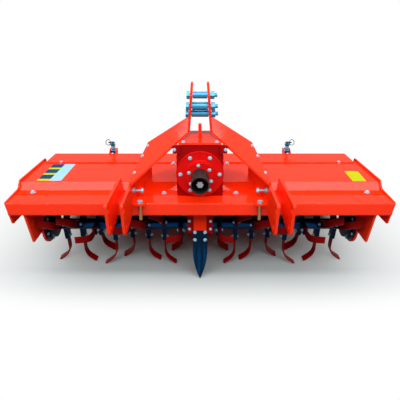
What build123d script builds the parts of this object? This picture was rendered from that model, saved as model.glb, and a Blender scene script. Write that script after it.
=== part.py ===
from build123d import *
import os
from math import atan2, cos, degrees, hypot, pi, radians, sin

# Rotavator: a rotary cultivator carried on a tractor's three-point linkage and driven at its centre.
# Millimetres. X runs along the rotor, +Y to the rear, +Z up. While the pieces are made, Y is
# measured from the front beam's front face and Z from the ground; save() moves each piece so that
# the origin is the middle of the machine's footprint.

# Hood and front beam
OVERALL_WIDTH = 2060
BEAM_TOP = 540
BEAM_HEIGHT = 75
BEAM_DEPTH = 120
BEAM_WALL = 6
BEAM_CORNER = 10
SHEET = 5
LIP_DEPTH = 56
RISER_DEPTH = 38
STEP_HEIGHT = 38
COVER_DEPTH = 360
DECK_HALF_WIDTH = 345
REAR_LAP = 30
REAR_DEPTH = 192
REAR_LIP = 54
REAR_SHEET = 6
REAR_INSET = 30

# End plates and the side plates that carry the rotor
END_PLATE = 8
END_RIM = 12
END_RIM_FRONT = 2
END_PLATE_DROP = 141
END_PLATE_RAKE = 36
END_PLATE_DEPTH = 618
SIDE_PLATE = 12
SIDE_INSET = 92
SIDE_TIP_DROP = 271
SIDE_TIP_Y = 64
SIDE_FRONT_Y = 17
SIDE_REAR_Y = 690
SIDE_REAR_DROP = 120
LOBE_RADIUS = 112

# Rotor
AXIS_Y = 310
TIP_RADIUS = 260
TUBE_RADIUS = 34
STUB_RADIUS = 30
STUB_LENGTH = 26
BLADES_PER_STATION = 3
BLADES_OUT = ((0, 1), (1, 2), (0,), (0, 2), (0, 1), (1,), (1, 2), (0, 1, 2))
FIRST_STATION_GAP = 96
LAST_STATION_X = 118
STATION_PHASES = (-9, -5, 90, 4, -17, -8, 3, -29)
HOLDER_WIDTH = 26
HOLDER_DEPTH = 46
HOLDER_RADIUS = 104
BLADE = 8
BLADE_WIDTH = 42
BLADE_BEND = 70
BLADE_BEND_ANGLE = 58
BLADE_TIP = 44
BLADE_ROOT_RADIUS = 90
BLADE_SWEEP_RADIUS = 135
BLADE_SWEEP = 32
RUNNING_GAP = 0.3

# Rotor bearings and centre drive case
BEARING_RADIUS = 100
BEARING_FLANGE = 14
BEARING_BOSS_RADIUS = 62
BEARING_DRUM_RADIUS = 82
BEARING_DRUM = 30
BEARING_CAP = 34
CASE_HALF_WIDTH = 52
CASE_RADIUS = 112
CASE_TOP_DEPTH = 200
CASE_BOSS_RADIUS = 84
CASE_BOSS = 18

# Gearbox
GEARBOX_Y = 100
GEARBOX_DEPTH = 300
GEARBOX_HALF_WIDTH = 124
GEARBOX_TOP_HALF_WIDTH = 104
GEARBOX_SHOULDER = 60
GEARBOX_EAR = 18
GEARBOX_EAR_DEPTH = 18
GEARBOX_EAR_HEIGHT = 44
REAR_COVER_RADIUS = 88
COVER_RADIUS = 127
COVER_GAP = 1
COVER_MARGIN = 33
COVER_PLATE = 12
CAP_RADIUS = 78
CAP_LENGTH = 38
GUARD_RADIUS = 46
GUARD_LENGTH = 126
GUARD_WALL = 4
PTO_RADIUS = 17.5
PTO_SPLINES = 6
PTO_SPLINE_DEPTH = 3
PTO_END_SETBACK = 14

# Linkage plates, A-frame and mast
HITCH_PLATE = 14
HITCH_OUTER_X = 430
HITCH_INNER_X = 356
HITCH_REACH = 241
HITCH_RAKE = 21
HITCH_PEAK_Y = 127
HITCH_TIP_DROP = 2
HITCH_FOOT_RISE = 22
HITCH_CORNER = 26
LINK_HOLE_RADIUS = 14.3
LINK_HOLE_MARGIN = 27
LINK_HOLE_RISE = 40
LINK_HOLE_SPACING = 98
SIDE_HOLE_RADIUS = 8
SIDE_HOLE_Y = -102
SIDE_HOLE_DROP = 24
STRUT = 14
STRUT_CORNER_X = 354
STRUT_CORNER_Z = 654
STRUT_TOP_X = 58
STRUT_TOP_FRONT_Y = 150
STRUT_REAR_X = 296
STRUT_REAR_Y = 300
STRUT_FOOT_X = 369
STRUT_FOOT_Y = 20
STRUT_SLOPE = 0.6334
STRUT_TILT = 0.318
MAST = 12
MAST_LEAN = 4.3
MAST_FOOT_X = 52
MAST_RISE = 245
MAST_TAPER = 60
MAST_NOSE = 30
MAST_BOLT_RADIUS = 10
MAST_PIN_PLACES = ((118, 0.767, 17), (132, 0.534, 21), (150, 0.367, 17))
MAST_PIN_HEAD = 15
MAST_NUT = 20
MAST_THREAD = 34
MAST_PIN_HEAD_RADIUS = 21
BRIDGE = 10
BRIDGE_FRONT_HALF_WIDTH = 112
BRIDGE_REAR_HALF_WIDTH = 46
BRIDGE_FRONT_Y = 96
BRIDGE_REAR_Y = 292
HOOK = 10
HOOK_WIDTH = 18
HOOK_HEIGHT = 78

# Clamps on the front beam, and the centre share
CLAMP_X = 312
CLAMP_WIDTH = 52
CLAMP_PLATE = 10
CLAMP_REACH = 38
CLAMP_BOLT_RADIUS = 9
CLAMP_HEAD_RADIUS = 15
CLAMP_HEAD = 12
BRACKET_HALF_WIDTH = 72
BRACKET_DROP = 160
BRACKET_PLATE = 12
BRACKET_Y = 106
BRACKET_POST_HALF_WIDTH = 36
SHARE_HALF_WIDTH = 42
SHARE_LAP = 22
SHARE_TONGUE = 70
SHARE = 14
SHARE_RIDGE = 9
SHARE_SHOULDER = 190

# Trailing board, its hinge and its two spring rods
BOARD_INSET = 45
BOARD_SHEET = 5
BOARD_REACH = 195
BOARD_CURVE = -24
BOARD_GAP = 5
HINGE_RADIUS = 8
KNUCKLE_RADIUS = 13
KNUCKLE_LENGTH = 46
KNUCKLE_PLACES = (0.12, 0.43, 0.87)
HINGE_DROP = 46
ROD_PLACE = 0.615
ROD_RADIUS = 8
ROD_LOW_Y = 152
ROD_LOW_DROP = 240
ROD_TOP = 78
TRUNNION_Y = 36
TRUNNION_RISE = 52
TRUNNION_RADIUS = 17
TRUNNION_WIDTH = 34
TRUNNION_BORE_GAP = 4
LUG = 6
LUG_SPACING = 44
ROD_LUG_HEIGHT = 50
SPRING_RADIUS = 15
SPRING_WIRE = 4
SPRING_TURNS = 5
COLLAR_RADIUS = 19
COLLAR = 8
ROD_CAP = 16
ROD_EYE_RADIUS = 15

HALF_WIDTH = OVERALL_WIDTH / 2
INSIDE_HALF_WIDTH = HALF_WIDTH - END_PLATE
SIDE_PLATE_X = HALF_WIDTH - SIDE_INSET
FIRST_STATION_X = SIDE_PLATE_X - FIRST_STATION_GAP
STATION_PITCH = (FIRST_STATION_X - LAST_STATION_X) / (len(BLADES_OUT) - 1)
BOARD_HALF_WIDTH = HALF_WIDTH - BOARD_INSET
KNUCKLES_X = [place * BOARD_HALF_WIDTH for place in KNUCKLE_PLACES]
ROD_X = ROD_PLACE * BOARD_HALF_WIDTH
BEAM_BOTTOM = BEAM_TOP - BEAM_HEIGHT
HOOD_TOP = BEAM_TOP + STEP_HEIGHT
LIP_Y = BEAM_DEPTH + LIP_DEPTH
RISER_Y = LIP_Y + RISER_DEPTH
COVER_Y = RISER_Y + COVER_DEPTH
REAR_Y = COVER_Y - REAR_LAP
REAR_END = REAR_Y + REAR_DEPTH
REAR_TOP = HOOD_TOP + REAR_SHEET
AXIS_Z = TIP_RADIUS
SHAFT_HEIGHT = BEAM_TOP + COVER_GAP + COVER_RADIUS
GEARBOX_TOP = SHAFT_HEIGHT + COVER_RADIUS + COVER_MARGIN
STRUT_TOP_Z = STRUT_CORNER_Z + (STRUT_CORNER_X - STRUT_TOP_X) * STRUT_SLOPE + STRUT_TOP_FRONT_Y * STRUT_TILT
STRUT_FOOT_Z = STRUT_CORNER_Z + (STRUT_CORNER_X - STRUT_FOOT_X) * STRUT_SLOPE + STRUT_FOOT_Y * STRUT_TILT
HITCH_TOP = STRUT_FOOT_Z - STRUT - RUNNING_GAP
LINK_HOLE_Z = BEAM_BOTTOM - HITCH_TIP_DROP + LINK_HOLE_RISE
UPPER_HOLE_Z = LINK_HOLE_Z + LINK_HOLE_SPACING
LINK_HOLE_Y = LINK_HOLE_MARGIN - HITCH_REACH + HITCH_RAKE
UPPER_HOLE_Y = LINK_HOLE_MARGIN - HITCH_REACH
SIDE_HOLE_Z = HITCH_TOP - SIDE_HOLE_DROP
MAST_TOP = STRUT_TOP_Z + MAST_RISE
MAST_PINS = [(y, STRUT_TOP_Z + share * MAST_RISE, radius) for y, share, radius in MAST_PIN_PLACES]
HINGE_Y = REAR_END + KNUCKLE_RADIUS + BOARD_GAP
HINGE_Z = REAR_TOP - HINGE_DROP
BOARD_END = HINGE_Y + BOARD_REACH
ROD_LOW = (HINGE_Y + ROD_LOW_Y, HINGE_Z - ROD_LOW_DROP)
TRUNNION = (HINGE_Y + TRUNNION_Y, HINGE_Z + TRUNNION_RISE)
ROD_LENGTH = hypot(TRUNNION[0] - ROD_LOW[0], TRUNNION[1] - ROD_LOW[1])
ROD_LEAN = degrees(atan2(ROD_LOW[0] - TRUNNION[0], TRUNNION[1] - ROD_LOW[1]))

os.makedirs("parts", exist_ok=True)


def save(node, shape):
    """Write one node, moved so that the origin is the middle of the footprint."""
    front = HITCH.bounding_box().min.Y
    rear = BOARD.bounding_box().max.Y
    export_step(Pos(0, -(front + rear) / 2, 0) * shape, f"parts/{node}.step")


def save_pair(node, shape):
    """Write a piece of the right side and its mirror image on the left."""
    save(f"{node}_right", shape)
    save(f"{node}_left", mirror(shape, about=Plane.YZ))


def shifted(points, distance):
    """An open outline moved to its left by a distance, with mitred corners."""
    corners = [Vector(*point) for point in points]
    steps = [(b - a).normalized() for a, b in zip(corners, corners[1:])]
    normals = [Vector(-step.Y, step.X) for step in steps]
    moved = []
    for i, corner in enumerate(corners):
        before = normals[max(i - 1, 0)]
        after = normals[min(i, len(normals) - 1)]
        moved.append(corner + (before + after) * (distance / (1 + before.dot(after))))
    return [(corner.X, corner.Y) for corner in moved]


def upright(points, x_low, x_high, radii=0):
    """A plate across X whose outline is given in Y and Z, with rounded corners."""
    outline = make_face(FilletPolyline(*points, radius=radii, close=True))
    return extrude(Plane.YZ.offset(x_low) * outline, amount=x_high - x_low, dir=(1, 0, 0))


def bent(points, thickness, x_low, x_high):
    """A folded sheet across X: the outline is its top line, and the sheet lies to its right."""
    return upright(points + shifted(points, -thickness)[::-1], x_low, x_high)


def along_x(radius, x_low, x_high, y, z):
    """A round bar along X."""
    middle = (x_low + x_high) / 2
    return Pos(middle, y, z) * Rot(0, 90, 0) * Cylinder(radius, x_high - x_low)


def along_y(radius, y_low, y_high, z):
    """A round bar along Y on the machine's middle plane."""
    return Pos(0, (y_low + y_high) / 2, z) * Rot(90, 0, 0) * Cylinder(radius, y_high - y_low)


def block(x_low, x_high, y_low, y_high, z_low, z_high):
    """A box given by its faces."""
    size = Box(x_high - x_low, y_high - y_low, z_high - z_low)
    return Pos((x_low + x_high) / 2, (y_low + y_high) / 2, (z_low + z_high) / 2) * size


COVER_LINE = [
    (BEAM_DEPTH, BEAM_TOP),
    (LIP_Y, BEAM_TOP),
    (RISER_Y, HOOD_TOP),
    (COVER_Y, HOOD_TOP),
]


def front_beam():
    """Rectangular tube with rounded edges, closed at both ends by the end plates."""
    section = RectangleRounded(BEAM_DEPTH, BEAM_HEIGHT, BEAM_CORNER)
    hollow = RectangleRounded(
        BEAM_DEPTH - 2 * BEAM_WALL, BEAM_HEIGHT - 2 * BEAM_WALL, BEAM_CORNER - BEAM_WALL
    )
    place = Plane.YZ.offset(-INSIDE_HALF_WIDTH) * Pos(BEAM_DEPTH / 2, BEAM_TOP - BEAM_HEIGHT / 2)
    return extrude(place * (section - hollow), amount=2 * INSIDE_HALF_WIDTH, dir=(1, 0, 0))


def centre_deck():
    """Folded plate between the two covers, cut away round the gearbox."""
    deck = bent(COVER_LINE, SHEET, -DECK_HALF_WIDTH, DECK_HALF_WIDTH)
    return deck - block(
        -GEARBOX_HALF_WIDTH, GEARBOX_HALF_WIDTH,
        BEAM_DEPTH, GEARBOX_Y + GEARBOX_DEPTH,
        BEAM_BOTTOM, HOOD_TOP + STEP_HEIGHT,
    )


def rear_beam():
    """Angle section that laps over the covers and carries the trailing board."""
    line = [(REAR_Y, REAR_TOP), (REAR_END, REAR_TOP), (REAR_END, REAR_TOP - REAR_LIP)]
    half = INSIDE_HALF_WIDTH - REAR_INSET + END_PLATE
    return bent(line, REAR_SHEET, -half, half)


def end_plate():
    """Outer end plate with a rim that steps up along the hood."""
    line = [(0, BEAM_TOP)] + COVER_LINE[1:3] + [(END_PLATE_DEPTH, HOOD_TOP)]
    rim = [(0, BEAM_TOP + END_RIM_FRONT)] + shifted(line, END_RIM)[1:]
    low = BEAM_TOP - END_PLATE_DROP
    outline = rim + [(END_PLATE_DEPTH, low), (END_PLATE_RAKE, low)]
    radii = [END_PLATE, 0, 0, END_RIM, END_PLATE_RAKE, END_RIM]
    return upright(outline, INSIDE_HALF_WIDTH, HALF_WIDTH, radii)


def side_plate():
    """Plate that hangs under the hood and ends in a round lobe about the rotor bearing."""
    under = shifted(COVER_LINE, -SHEET)
    tip_z = BEAM_TOP - SIDE_TIP_DROP
    outline = [
        (SIDE_FRONT_Y, BEAM_BOTTOM),
        (BEAM_DEPTH, BEAM_BOTTOM),
        *under,
        (COVER_Y, HOOD_TOP),
        (SIDE_REAR_Y, HOOD_TOP),
        (SIDE_REAR_Y, BEAM_TOP - SIDE_REAR_DROP),
        (AXIS_Y + LOBE_RADIUS, AXIS_Z),
        (AXIS_Y - LOBE_RADIUS, AXIS_Z + SIDE_PLATE),
        (SIDE_TIP_Y, tip_z),
    ]
    far = SIDE_PLATE_X + SIDE_PLATE
    plate = upright(outline, SIDE_PLATE_X, far)
    plate += along_x(LOBE_RADIUS, SIDE_PLATE_X, far, AXIS_Y, AXIS_Z)
    return plate - along_x(BEARING_BOSS_RADIUS, SIDE_PLATE_X, far, AXIS_Y, AXIS_Z)


def bearing_housing():
    """Round bearing housing bolted in the side plate's lobe, with a blind seat for the rotor's stub."""
    inner = SIDE_PLATE_X - BEARING_FLANGE
    outer = SIDE_PLATE_X + SIDE_PLATE + BEARING_CAP
    face = inner - BEARING_DRUM
    housing = along_x(BEARING_RADIUS, inner, SIDE_PLATE_X, AXIS_Y, AXIS_Z)
    housing += along_x(BEARING_DRUM_RADIUS, face, inner, AXIS_Y, AXIS_Z)
    housing += along_x(BEARING_BOSS_RADIUS - RUNNING_GAP, inner, outer, AXIS_Y, AXIS_Z)
    seat_end = face + STUB_LENGTH + RUNNING_GAP
    return housing - along_x(STUB_RADIUS + RUNNING_GAP, face, seat_end, AXIS_Y, AXIS_Z)


def drive_case():
    """Narrow cast case that carries the drive from the gearbox down to the middle of the rotor."""
    half_depth = CASE_TOP_DEPTH / 2
    outline = [
        (AXIS_Y - half_depth, BEAM_TOP),
        (AXIS_Y + half_depth, BEAM_TOP),
        (AXIS_Y + CASE_RADIUS, AXIS_Z),
        (AXIS_Y - CASE_RADIUS, AXIS_Z),
    ]
    outer = CASE_HALF_WIDTH + CASE_BOSS
    case = upright(outline, -CASE_HALF_WIDTH, CASE_HALF_WIDTH)
    case += along_x(CASE_RADIUS, -CASE_HALF_WIDTH, CASE_HALF_WIDTH, AXIS_Y, AXIS_Z)
    case += along_x(CASE_BOSS_RADIUS, -outer, outer, AXIS_Y, AXIS_Z)
    seat_depth = STUB_LENGTH + RUNNING_GAP
    for low in (-outer, outer - seat_depth):
        case -= along_x(STUB_RADIUS + RUNNING_GAP, low, low + seat_depth, AXIS_Y, AXIS_Z)
    return case


def blade():
    """Curved blade that points straight down from the rotor axis and turns to +X at its tip.

    Its section is a bar with a soft bend, and its side outline is swept back from the shank.
    """
    lean = radians(BLADE_BEND_ANGLE)
    bend_r = TIP_RADIUS - BLADE_TIP * cos(lean) - (BLADE_BEND + BLADE / 2) * sin(lean)
    shank = Line((0, -BLADE_ROOT_RADIUS), (0, -bend_r))
    bend = JernArc((0, -bend_r), (0, -1), BLADE_BEND, BLADE_BEND_ANGLE)
    tip = Line(bend @ 1, bend @ 1 + (bend % 1) * BLADE_TIP)
    reach = TIP_RADIUS
    bar = extrude(Plane.XZ.offset(-reach) * trace([shank, bend, tip], BLADE), amount=2 * reach)
    half = BLADE_WIDTH / 2
    lead = (half - BLADE_SWEEP, -(TIP_RADIUS + BLADE))
    trail = (-half - BLADE_SWEEP, -(TIP_RADIUS + BLADE))
    side = [
        Line((-half, -BLADE_ROOT_RADIUS), (half, -BLADE_ROOT_RADIUS)),
        Line((half, -BLADE_ROOT_RADIUS), (half, -BLADE_SWEEP_RADIUS)),
        TangentArc((half, -BLADE_SWEEP_RADIUS), lead, tangent=(0, -1)),
        Line(lead, trail),
        TangentArc((-half, -BLADE_SWEEP_RADIUS), trail, tangent=(0, -1)),
        Line((-half, -BLADE_SWEEP_RADIUS), (-half, -BLADE_ROOT_RADIUS)),
    ]
    span = BLADE + BLADE_BEND + BLADE_TIP
    outline = extrude(Plane.YZ.offset(-BLADE) * make_face(side), amount=2 * BLADE + span, dir=(1, 0, 0))
    swing = Rot(0, 90, 0) * Cylinder(TIP_RADIUS, 4 * span)
    return bar & outline & swing


def rotor():
    """Right half of the rotor: tube, stub ends, and square holders with curved blades, three to a station."""
    inner = CASE_HALF_WIDTH + CASE_BOSS + RUNNING_GAP
    outer = SIDE_PLATE_X - BEARING_FLANGE - BEARING_DRUM - RUNNING_GAP
    middle = (inner + outer) / 2
    tube = Pos(middle, 0, 0) * Rot(0, 90, 0) * Cylinder(TUBE_RADIUS, outer - inner)
    for end, turn in ((inner, -1), (outer, 1)):
        stub = Rot(0, 90, 0) * Cylinder(STUB_RADIUS, STUB_LENGTH)
        tube += Pos(end + turn * STUB_LENGTH / 2, 0, 0) * stub
    outward = blade()
    inward = mirror(outward, about=Plane.YZ)
    holder_length = HOLDER_RADIUS - TUBE_RADIUS / 2
    holder = Pos(0, 0, -HOLDER_RADIUS + holder_length / 2) * Box(HOLDER_WIDTH, HOLDER_DEPTH, holder_length)
    pieces = []
    for station, out_turns in enumerate(BLADES_OUT):
        x = FIRST_STATION_X - station * STATION_PITCH
        for turn in range(BLADES_PER_STATION):
            phase = STATION_PHASES[station] + turn * 360 / BLADES_PER_STATION
            place = Pos(x, 0, 0) * Rot(-phase, 0, 0)
            pieces += [place * holder, place * (outward if turn in out_turns else inward)]
    return Pos(0, AXIS_Y, AXIS_Z) * (tube + pieces)


def gearbox_body():
    """Cast box with sloped shoulders that stands on the beam and the drive case."""
    outline = [
        (-GEARBOX_HALF_WIDTH, BEAM_TOP),
        (GEARBOX_HALF_WIDTH, BEAM_TOP),
        (GEARBOX_HALF_WIDTH, GEARBOX_TOP - GEARBOX_SHOULDER),
        (GEARBOX_TOP_HALF_WIDTH, GEARBOX_TOP),
        (-GEARBOX_TOP_HALF_WIDTH, GEARBOX_TOP),
        (-GEARBOX_HALF_WIDTH, GEARBOX_TOP - GEARBOX_SHOULDER),
    ]
    soft = GEARBOX_EAR
    face = make_face(FilletPolyline(*outline, radius=[0, 0, soft, soft, soft, soft], close=True))
    body = extrude(Plane.XZ.offset(-GEARBOX_Y) * face, amount=GEARBOX_DEPTH, dir=(0, 1, 0))
    far = GEARBOX_HALF_WIDTH + GEARBOX_EAR
    ear_low = GEARBOX_TOP - GEARBOX_EAR_HEIGHT
    ear_y = GEARBOX_Y - COVER_PLATE
    ear = block(GEARBOX_TOP_HALF_WIDTH, far, ear_y, ear_y + GEARBOX_EAR_DEPTH, ear_low, GEARBOX_TOP)
    body += [ear, mirror(ear, about=Plane.YZ)]
    back = GEARBOX_Y + GEARBOX_DEPTH
    return body + along_y(REAR_COVER_RADIUS, back, back + COVER_PLATE, SHAFT_HEIGHT)


def gearbox_cover():
    """Round front cover on the gearbox."""
    return along_y(COVER_RADIUS, GEARBOX_Y - COVER_PLATE, GEARBOX_Y, SHAFT_HEIGHT)


def bearing_cap():
    """Round cap in front of the cover, bored for the input shaft."""
    back = GEARBOX_Y - COVER_PLATE
    cap = along_y(CAP_RADIUS, back - CAP_LENGTH, back, SHAFT_HEIGHT)
    return cap - along_y(PTO_RADIUS + RUNNING_GAP, back - CAP_LENGTH, back, SHAFT_HEIGHT)


CAP_FRONT = GEARBOX_Y - COVER_PLATE - CAP_LENGTH


def pto_guard():
    """Black tube open at the front that shields the input shaft."""
    front = CAP_FRONT - GUARD_LENGTH
    guard = along_y(GUARD_RADIUS, front, CAP_FRONT, SHAFT_HEIGHT)
    return guard - along_y(GUARD_RADIUS - GUARD_WALL, front, CAP_FRONT, SHAFT_HEIGHT)


def pto_shaft():
    """Input shaft with straight splines."""
    front = CAP_FRONT - GUARD_LENGTH + PTO_END_SETBACK
    back = GEARBOX_Y - COVER_PLATE - RUNNING_GAP
    shaft = along_y(PTO_RADIUS, front, back, SHAFT_HEIGHT)
    groove_width = pi * PTO_RADIUS / PTO_SPLINES
    splined = GUARD_LENGTH - PTO_END_SETBACK - RUNNING_GAP
    groove = Pos(0, front + splined / 2, PTO_RADIUS) * Box(groove_width, splined, 2 * PTO_SPLINE_DEPTH)
    for tooth in range(PTO_SPLINES):
        shaft -= Pos(0, 0, SHAFT_HEIGHT) * Rot(0, tooth * 360 / PTO_SPLINES, 0) * groove
    return shaft


def hitch_plate(x_low):
    """Linkage plate that stands on the front beam and reaches ahead of it."""
    tip_z = BEAM_BOTTOM - HITCH_TIP_DROP
    outline = [
        (-HITCH_REACH, HITCH_TOP),
        (HITCH_PEAK_Y, HITCH_TOP),
        (LIP_Y, BEAM_TOP),
        (0, BEAM_TOP),
        (0, BEAM_BOTTOM + HITCH_FOOT_RISE),
        (LINK_HOLE_Y + LINK_HOLE_MARGIN, tip_z),
        (HITCH_RAKE - HITCH_REACH, tip_z),
    ]
    radii = [HITCH_CORNER / 2, HITCH_CORNER / 2, 0, 0, 0, HITCH_CORNER, HITCH_CORNER]
    plate = upright(outline, x_low, x_low + HITCH_PLATE, radii)
    for radius, y, z in (
        (LINK_HOLE_RADIUS, LINK_HOLE_Y, LINK_HOLE_Z),
        (LINK_HOLE_RADIUS, UPPER_HOLE_Y, UPPER_HOLE_Z),
        (SIDE_HOLE_RADIUS, SIDE_HOLE_Y, SIDE_HOLE_Z),
    ):
        plate -= along_x(radius, x_low, x_low + HITCH_PLATE, y, z)
    return plate


def strut_corner(x, y):
    """A point on the strut's sloped and tilted top face."""
    return (x, y, STRUT_CORNER_Z + (STRUT_CORNER_X - x) * STRUT_SLOPE + y * STRUT_TILT)


def aframe():
    """One leg of the A-frame: a wide sloped strut, a web down to the deck and a leaning mast plate."""
    top = [
        strut_corner(STRUT_CORNER_X, 0),
        strut_corner(STRUT_TOP_X, STRUT_TOP_FRONT_Y),
        strut_corner(STRUT_TOP_X, STRUT_REAR_Y),
        strut_corner(STRUT_REAR_X, STRUT_REAR_Y),
        strut_corner(STRUT_FOOT_X, STRUT_FOOT_Y),
    ]
    strut = extrude(make_face(Polyline(*top, close=True)), amount=STRUT, dir=(0, 0, -1))
    slant = (STRUT_FOOT_X - STRUT_REAR_X) / (STRUT_REAR_Y - STRUT_FOOT_Y)
    web_y = STRUT_FOOT_Y + (STRUT_FOOT_X - HITCH_INNER_X) / slant
    web_line = [
        (web_y, strut_corner(HITCH_INNER_X, web_y)[2] - STRUT / 2),
        (STRUT_REAR_Y, top[3][2] - STRUT / 2),
        (STRUT_REAR_Y, HOOD_TOP),
        (RISER_Y - RISER_DEPTH / 2, HOOD_TOP),
        (LIP_Y - RISER_DEPTH / 2, BEAM_TOP),
        (web_y, BEAM_TOP),
    ]
    corners = [(STRUT_REAR_X + (STRUT_REAR_Y - y) * slant, y, z) for y, z in web_line]
    web = extrude(make_face(Polyline(*corners, close=True)), amount=STRUT, dir=(-1, 0, 0))
    leg = strut + web + mast_plate(top[1][2], top[2][2])
    for y, z, _ in MAST_PINS:
        leg -= along_x(MAST_BOLT_RADIUS, 0, MAST_FOOT_X + 2 * MAST, y, z)
    return leg


def mast_plate(front_z, rear_z):
    """Mast plate that stands on the strut's upper end and leans in and back."""
    pin_y, pin_z, _ = MAST_PINS[0]
    outline = [
        (STRUT_TOP_FRONT_Y, front_z - STRUT),
        (STRUT_REAR_Y, rear_z - STRUT),
        (STRUT_REAR_Y - MAST_TAPER, MAST_TOP - MAST_TAPER),
        (pin_y + 2 * MAST_NOSE, MAST_TOP),
        (pin_y + MAST_NOSE, MAST_TOP),
        (pin_y - MAST_NOSE, pin_z),
    ]
    plate = upright(outline, 0, MAST, [0, 0, MAST_NOSE, MAST / 2, MAST_NOSE, MAST_NOSE / 2])
    pivot = Pos(MAST_FOOT_X, 0, STRUT_TOP_Z)
    return pivot * Rot(0, -MAST_LEAN, 0) * Pos(0, 0, -STRUT_TOP_Z) * plate


def mast_pin(y, z, radius):
    """Sleeve between the mast plates with its bolt: head on the left, nut and thread on the right."""
    lean = (z - STRUT_TOP_Z) * sin(radians(MAST_LEAN))
    inner = MAST_FOOT_X - lean - RUNNING_GAP - radius * sin(radians(MAST_LEAN))
    outer = MAST_FOOT_X - lean + MAST + MAST_PIN_HEAD_RADIUS * sin(radians(MAST_LEAN)) + RUNNING_GAP
    pin = along_x(radius, -inner, inner, y, z)
    pin += along_x(MAST_BOLT_RADIUS, -outer, outer + MAST_THREAD, y, z)
    hexagon = RegularPolygon(MAST_PIN_HEAD_RADIUS, 6)
    for start, height, way in ((-outer, MAST_PIN_HEAD, -1), (outer, MAST_NUT, 1)):
        pin += extrude(Plane.YZ.offset(start) * Pos(y, z) * hexagon, amount=height, dir=(way, 0, 0))
    return pin


def bridge_plate():
    """Tapered plate on top of the gearbox that ties the two legs together."""
    outline = [
        (-BRIDGE_FRONT_HALF_WIDTH, BRIDGE_FRONT_Y),
        (BRIDGE_FRONT_HALF_WIDTH, BRIDGE_FRONT_Y),
        (BRIDGE_REAR_HALF_WIDTH, BRIDGE_REAR_Y),
        (-BRIDGE_REAR_HALF_WIDTH, BRIDGE_REAR_Y),
    ]
    return extrude(Plane.XY.offset(GEARBOX_TOP) * make_face(Polyline(*outline, close=True)), amount=BRIDGE)


def shaft_hook():
    """Small upright hook that holds the drive shaft when the machine is off the tractor."""
    base = GEARBOX_TOP + BRIDGE
    middle = (BRIDGE_FRONT_Y + BRIDGE_REAR_Y) / 2
    outline = [
        (middle - HOOK, base),
        (middle + HOOK, base),
        (middle + HOOK, base + HOOK_HEIGHT),
        (middle - 2 * HOOK, base + HOOK_HEIGHT),
        (middle - 2 * HOOK, base + HOOK_HEIGHT - HOOK),
        (middle - HOOK, base + HOOK_HEIGHT - HOOK),
    ]
    return upright(outline, -HOOK_WIDTH / 2, HOOK_WIDTH / 2)


def clamp():
    """Angle on top of the beam with a long bolt that hangs in front of it."""
    low, high = CLAMP_X - CLAMP_WIDTH / 2, CLAMP_X + CLAMP_WIDTH / 2
    plate = block(low, high, -CLAMP_REACH, BEAM_DEPTH / 2, BEAM_TOP, BEAM_TOP + CLAMP_PLATE)
    bolt_y = -CLAMP_REACH / 2
    top = BEAM_TOP + CLAMP_PLATE
    bottom = BEAM_BOTTOM - CLAMP_PLATE
    bolt = Pos(CLAMP_X, bolt_y, (top + bottom) / 2) * Cylinder(CLAMP_BOLT_RADIUS, top - bottom)
    head = Pos(CLAMP_X, bolt_y, top + CLAMP_HEAD / 2) * extrude(
        RegularPolygon(CLAMP_HEAD_RADIUS, 6), amount=CLAMP_HEAD / 2, both=True
    )
    return plate + bolt + head


def share_bracket():
    """Bracket under the beam: a wide back plate with a tongue behind the share, and a post in front."""
    bottom = BEAM_BOTTOM - BRACKET_DROP
    back = block(
        -BRACKET_HALF_WIDTH, BRACKET_HALF_WIDTH, BRACKET_Y, BRACKET_Y + BRACKET_PLATE, bottom, BEAM_BOTTOM
    )
    half = BRACKET_POST_HALF_WIDTH
    tongue = block(-half, half, BRACKET_Y, BRACKET_Y + BRACKET_PLATE, bottom - SHARE_TONGUE, bottom)
    post = block(-half, half, BRACKET_Y - BRACKET_PLATE, BRACKET_Y, bottom + SHARE_LAP, BEAM_BOTTOM)
    return back + tongue + post


def share():
    """Long pointed share with a ridge down its front, bolted to the bracket and ending at the ground."""
    top = BEAM_BOTTOM - BRACKET_DROP + SHARE_LAP
    left, right = (-SHARE_HALF_WIDTH, SHARE_SHOULDER), (SHARE_HALF_WIDTH, SHARE_SHOULDER)
    outline = [
        Polyline(left, (-SHARE_HALF_WIDTH, top), (SHARE_HALF_WIDTH, top), right),
        TangentArc(right, (0, 0), tangent=(0, -1)),
        TangentArc(left, (0, 0), tangent=(0, -1)),
    ]
    blank = extrude(Plane.XZ.offset(-BRACKET_Y) * make_face(outline), amount=SHARE)
    back = BRACKET_Y
    edge = BRACKET_Y - SHARE + SHARE_RIDGE
    section = [
        (-SHARE_HALF_WIDTH, edge),
        (0, BRACKET_Y - SHARE),
        (SHARE_HALF_WIDTH, edge),
        (SHARE_HALF_WIDTH, back),
        (-SHARE_HALF_WIDTH, back),
    ]
    return blank & extrude(make_face(Polyline(*section, close=True)), amount=top)


def knuckle(x, length, bore=0):
    """Round hinge knuckle about the board's hinge line."""
    barrel = along_x(KNUCKLE_RADIUS, x - length / 2, x + length / 2, HINGE_Y, HINGE_Z)
    if bore:
        barrel -= along_x(bore, x - length / 2, x + length / 2, HINGE_Y, HINGE_Z)
    return barrel


def board_hinge(x):
    """Fixed knuckle on the rear beam with the pin that the board turns on."""
    low, high = x - KNUCKLE_LENGTH / 2, x + KNUCKLE_LENGTH / 2
    foot = block(low, high, REAR_END, HINGE_Y, HINGE_Z - HINGE_RADIUS, HINGE_Z + KNUCKLE_RADIUS)
    reach = KNUCKLE_LENGTH / 2 + RUNNING_GAP + KNUCKLE_LENGTH
    pin = along_x(HINGE_RADIUS, x - reach, x + reach, HINGE_Y, HINGE_Z)
    return knuckle(x, KNUCKLE_LENGTH) + foot + pin


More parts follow.
